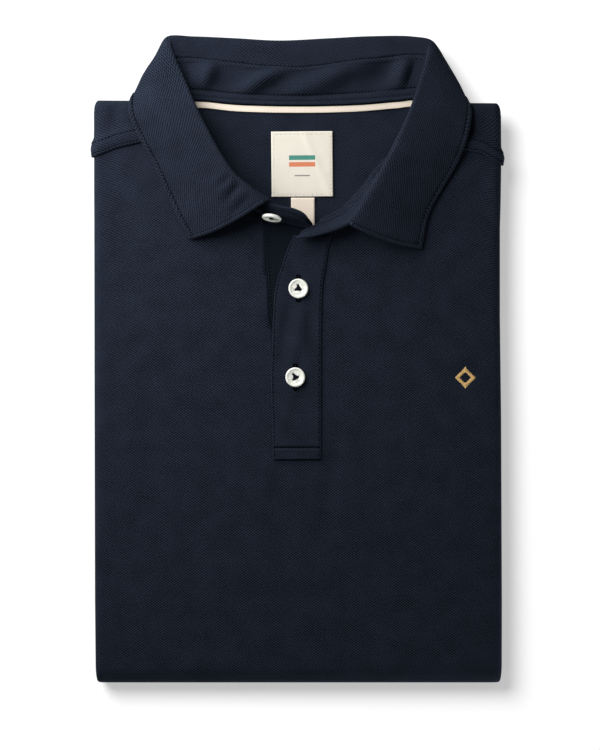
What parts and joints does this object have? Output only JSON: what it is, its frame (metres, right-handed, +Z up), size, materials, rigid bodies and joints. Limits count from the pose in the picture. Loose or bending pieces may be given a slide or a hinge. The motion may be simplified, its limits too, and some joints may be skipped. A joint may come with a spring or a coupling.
{
  "type": "folded polo shirt",
  "caption": "Short-sleeved pique polo shirt with a buttoned placket, folded flat for a shelf with its collar up and its sides and lower half turned behind.",
  "frame": {"origin": "on the surface it lies on, below the middle of the folded shirt's outline", "axes": "+Z up out of the chest, +Y towards the collar, +X towards the wearer's left sleeve"},
  "size_m": [0.2692, 0.4224, 0.0415],
  "materials": {
    "navy_pique": "matte pique knit",
    "cream_tape": "matte woven tape",
    "shell_button": "pearly"
  },
  "bodies": {
    "root": {"front": "navy_pique", "back": "navy_pique", "hidden_layers": "navy_pique", "sleeve_right": "navy_pique", "sleeve_left": "navy_pique", "collar_stand": "navy_pique", "collar_leaf": "navy_pique", "placket_lower": "navy_pique", "placket_upper": "navy_pique", "neck_tape": "cream_tape", "neck_label": "cream_tape", "size_tab": "cream_tape", "button_upper": "shell_button", "button_lower": "shell_button", "button_collar": "shell_button"}
  },
  "joints": []
}
